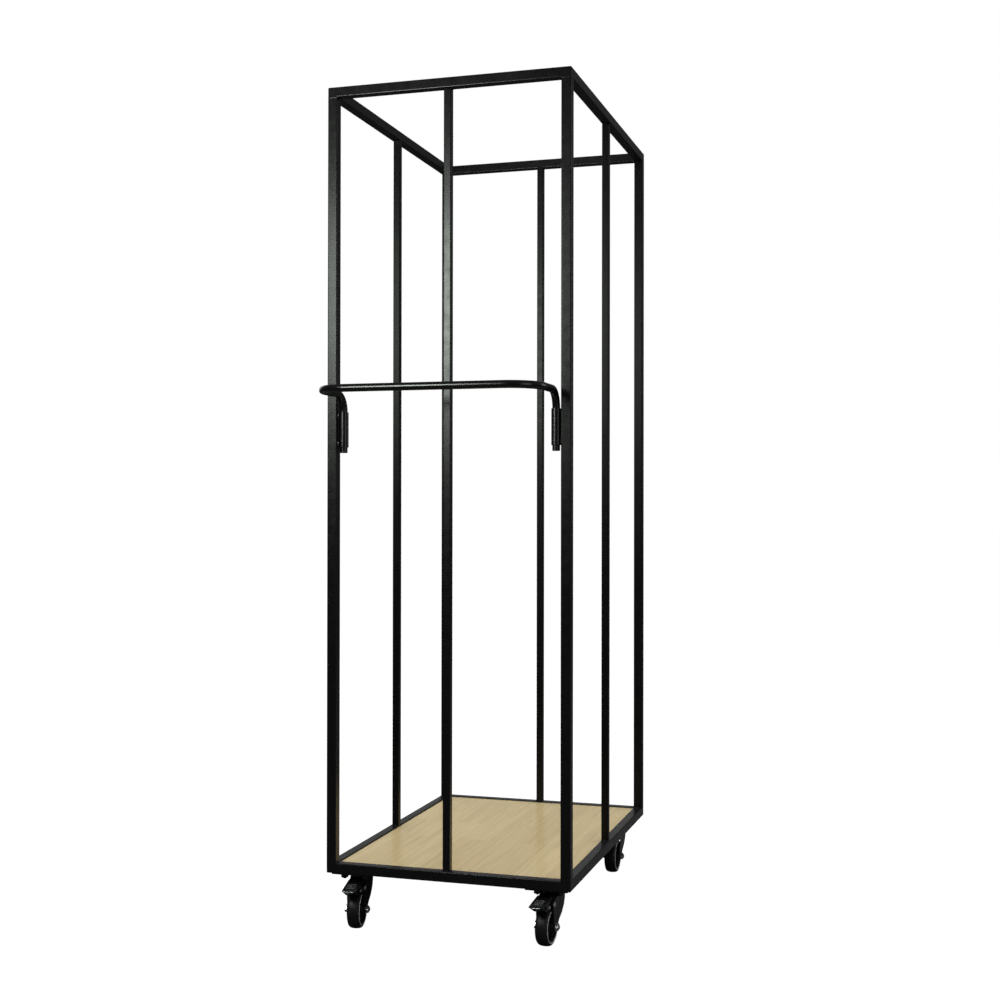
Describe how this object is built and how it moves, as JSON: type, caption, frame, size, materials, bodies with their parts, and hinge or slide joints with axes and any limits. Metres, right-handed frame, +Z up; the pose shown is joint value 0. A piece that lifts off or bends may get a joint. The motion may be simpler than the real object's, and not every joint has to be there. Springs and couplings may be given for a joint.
{
  "type": "rolling clothes rack",
  "caption": "Tall welded cage of black square tube on swivel casters, with a light board let into its base and a push handle that lifts out of two sockets.",
  "frame": {"origin": "on the floor, in the middle of the overall footprint, push handle included", "axes": "+Z up, +X to the right, -Y towards the push handle at the front"},
  "size_m": [0.5, 0.85, 1.673],
  "materials": {
    "powder_coat": "satin black powder coat",
    "handle_gloss": "smoother, glossier black powder coat",
    "deck_wood": "light beech-coloured strip board, satin lacquer",
    "caster_black": "black coated pressed steel, half gloss",
    "zinc": "bright zinc plated steel",
    "wheel_plastic": "black moulded nylon",
    "tyre": "black rubber, smooth tread with a dull sheen"
  },
  "bodies": {
    "frame": {"base_rail_front": "powder_coat", "base_rail_right": "powder_coat", "base_rail_rear": "powder_coat", "base_rail_left": "powder_coat", "top_rail_front": "powder_coat", "top_rail_right": "powder_coat", "top_rail_rear": "powder_coat", "top_rail_left": "powder_coat", "corner_post_front_left": "powder_coat", "corner_post_front_right": "powder_coat", "corner_post_rear_left": "powder_coat", "corner_post_rear_right": "powder_coat", "mid_post_front": "powder_coat", "mid_post_right": "powder_coat", "mid_post_rear": "powder_coat", "mid_post_left": "powder_coat", "deck_board": "deck_wood", "handle_socket_left": "powder_coat", "handle_socket_right": "powder_coat", "mount_plate_front_left": "powder_coat", "caster_plate_front_left": "caster_black", "kingpin_front_left": "caster_black", "mount_plate_front_right": "powder_coat", "caster_plate_front_right": "caster_black", "kingpin_front_right": "caster_black", "mount_plate_rear_left": "powder_coat", "caster_plate_rear_left": "caster_black", "kingpin_rear_left": "caster_black", "mount_plate_rear_right": "powder_coat", "caster_plate_rear_right": "caster_black", "kingpin_rear_right": "caster_black"},
    "push_handle": {"push_handle": "handle_gloss"},
    "caster_front_left": {"ball_ring_front_left": "zinc", "fork_front_left": "caster_black", "axle_front_left": "zinc", "brake_pin_front_left": "zinc"},
    "wheel_front_left": {"wheel_core_front_left": "wheel_plastic", "tyre_front_left": "tyre"},
    "brake_front_left": {"brake_pedal_front_left": "caster_black"},
    "caster_front_right": {"ball_ring_front_right": "zinc", "fork_front_right": "caster_black", "axle_front_right": "zinc", "brake_pin_front_right": "zinc"},
    "wheel_front_right": {"wheel_core_front_right": "wheel_plastic", "tyre_front_right": "tyre"},
    "brake_front_right": {"brake_pedal_front_right": "caster_black"},
    "caster_rear_left": {"ball_ring_rear_left": "zinc", "fork_rear_left": "caster_black", "axle_rear_left": "zinc"},
    "wheel_rear_left": {"wheel_core_rear_left": "wheel_plastic", "tyre_rear_left": "tyre"},
    "caster_rear_right": {"ball_ring_rear_right": "zinc", "fork_rear_right": "caster_black", "axle_rear_right": "zinc"},
    "wheel_rear_right": {"wheel_core_rear_right": "wheel_plastic", "tyre_rear_right": "tyre"}
  },
  "joints": [
    {"name": "handle_lift", "type": "slide", "parent": "frame", "child": "push_handle", "axis": [0, 0, 1], "range_m": [0, 0.1]},
    {"name": "swivel_front_left", "type": "hinge", "parent": "frame", "child": "caster_front_left", "pos_m": [-0.2, -0.209, 0.1], "axis": [0, 0, 1], "continuous": true},
    {"name": "roll_front_left", "type": "hinge", "parent": "caster_front_left", "child": "wheel_front_left", "pos_m": [-0.19415, -0.25059, 0.0375], "axis": [0.9903, 0.1392, 0], "continuous": true},
    {"name": "brake_front_left", "type": "hinge", "parent": "caster_front_left", "child": "brake_front_left", "pos_m": [-0.19304, -0.25851, 0.082], "axis": [0.9903, 0.1392, 0], "range_deg": [0, 18]},
    {"name": "swivel_front_right", "type": "hinge", "parent": "frame", "child": "caster_front_right", "pos_m": [0.2, -0.209, 0.1], "axis": [0, 0, 1], "continuous": true},
    {"name": "roll_front_right", "type": "hinge", "parent": "caster_front_right", "child": "wheel_front_right", "pos_m": [0.19707, -0.2509, 0.0375], "axis": [0.9976, -0.0698, 0], "continuous": true},
    {"name": "brake_front_right", "type": "hinge", "parent": "caster_front_right", "child": "brake_front_right", "pos_m": [0.19651, -0.25888, 0.082], "axis": [0.9976, -0.0698, 0], "range_deg": [0, 18]},
    {"name": "swivel_rear_left", "type": "hinge", "parent": "frame", "child": "caster_rear_left", "pos_m": [-0.2, 0.359, 0.1], "axis": [0, 0, 1], "continuous": true},
    {"name": "roll_rear_left", "type": "hinge", "parent": "caster_rear_left", "child": "wheel_rear_left", "pos_m": [-0.2, 0.317, 0.0375], "axis": [1, 0, 0], "continuous": true},
    {"name": "swivel_rear_right", "type": "hinge", "parent": "frame", "child": "caster_rear_right", "pos_m": [0.2, 0.359, 0.1], "axis": [0, 0, 1], "continuous": true},
    {"name": "roll_rear_right", "type": "hinge", "parent": "caster_rear_right", "child": "wheel_rear_right", "pos_m": [0.2, 0.317, 0.0375], "axis": [1, 0, 0], "continuous": true}
  ]
}
